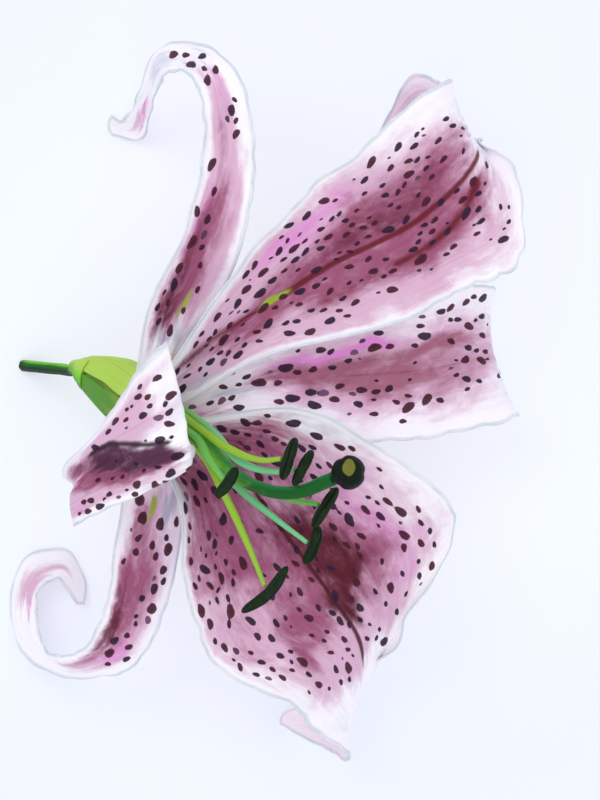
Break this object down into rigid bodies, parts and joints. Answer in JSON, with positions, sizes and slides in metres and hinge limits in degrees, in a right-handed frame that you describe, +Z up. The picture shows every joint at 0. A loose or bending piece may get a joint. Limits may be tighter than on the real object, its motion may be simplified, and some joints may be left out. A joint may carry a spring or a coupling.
{
  "type": "cut lily flower",
  "caption": "Spotted pink lily flower on a short cut stalk, lying on its side, with rolled-back petals and sepals round a tuft of stamens and a long style.",
  "frame": {"origin": "bottom centre of the bounding box, on the surface that the flower lies on", "axes": "+Z up from the surface; the stalk points to -X and the mouth opens to +X and up; +Y runs to the upper left sepal's side"},
  "size_m": [0.1309, 0.181, 0.0825],
  "materials": {
    "stalk": "smooth, waxy green skin, darker underneath",
    "sepal_right": "soft satin, pink to wine along the midrib, white margin, dark raised spots",
    "petal_upper_right": "soft satin, pink to wine along the midrib, white margin, dark raised spots",
    "sepal_upper_left": "soft satin, pink to wine along the midrib, white margin, dark raised spots",
    "petal_lower": "soft satin, pink to wine along the midrib, white margin, dark raised spots",
    "petal_left": "soft satin, pink to wine along the midrib, white margin, dark raised spots",
    "sepal_lower_left": "soft satin, pink to wine along the midrib, white margin, dark raised spots",
    "ovary": "smooth light green",
    "style": "smooth dark green with a soft sheen",
    "stigma": "dark green, moist, three-lobed",
    "filament": "smooth green, a little translucent",
    "anther": "matt, dusty dark green"
  },
  "bodies": {
    "root": {"pedicel": "stalk", "sepal_right": "sepal_right", "petal_upper_right": "petal_upper_right", "sepal_upper_left": "sepal_upper_left", "petal_lower": "petal_lower", "petal_left": "petal_left", "sepal_lower_left": "sepal_lower_left", "ovary": "ovary", "style": "style", "stigma": "stigma", "filament_1": "filament", "filament_2": "filament", "filament_3": "filament", "filament_4": "filament", "filament_5": "filament", "filament_6": "filament", "anther_1": "anther", "anther_2": "anther", "anther_3": "anther", "anther_4": "anther", "anther_5": "anther", "anther_6": "anther"}
  },
  "joints": []
}
